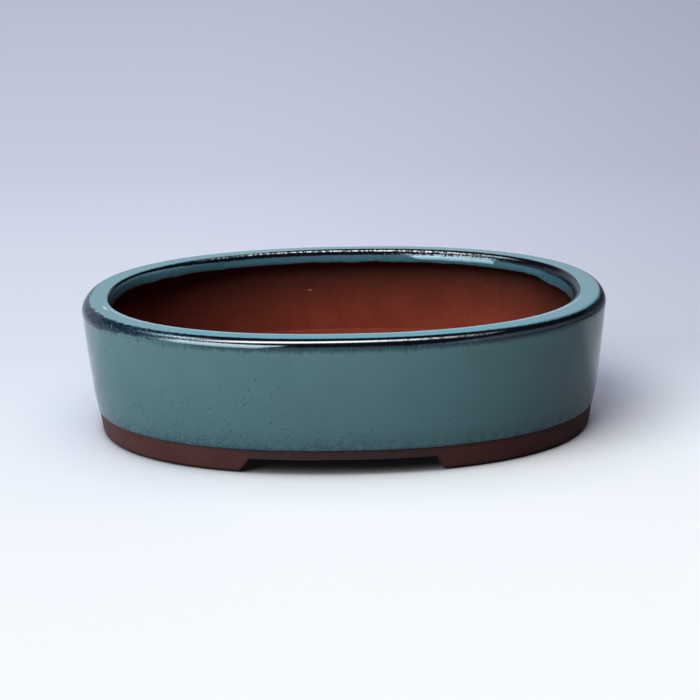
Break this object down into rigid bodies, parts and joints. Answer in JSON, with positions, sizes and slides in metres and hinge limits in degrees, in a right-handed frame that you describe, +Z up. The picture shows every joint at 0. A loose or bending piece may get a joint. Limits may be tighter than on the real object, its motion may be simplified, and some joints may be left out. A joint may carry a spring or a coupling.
{
  "type": "flower pot",
  "caption": "Low oval bonsai pot in red-brown stoneware: flaring wall, flat lip turned inwards, drain and wire holes, long feet at the ends, blue-green glaze outside.",
  "frame": {"origin": "on the ground under the middle of the pot", "axes": "+X along the length, +Y from the pictured front to the back, +Z up"},
  "size_m": [0.255, 0.2, 0.065],
  "materials": {
    "bare_clay": "bare red-brown stoneware, matt and slightly grainy",
    "glaze": "glossy blue-green glaze with dark specks, breaking to brown-black on the edges"
  },
  "bodies": {
    "root": {"floor_slab": "bare_clay", "wall_band": "bare_clay", "rim_lip": "bare_clay", "seam_coil": "bare_clay", "foot_left": "bare_clay", "foot_right": "bare_clay", "glaze_coat": "glaze"}
  },
  "joints": []
}
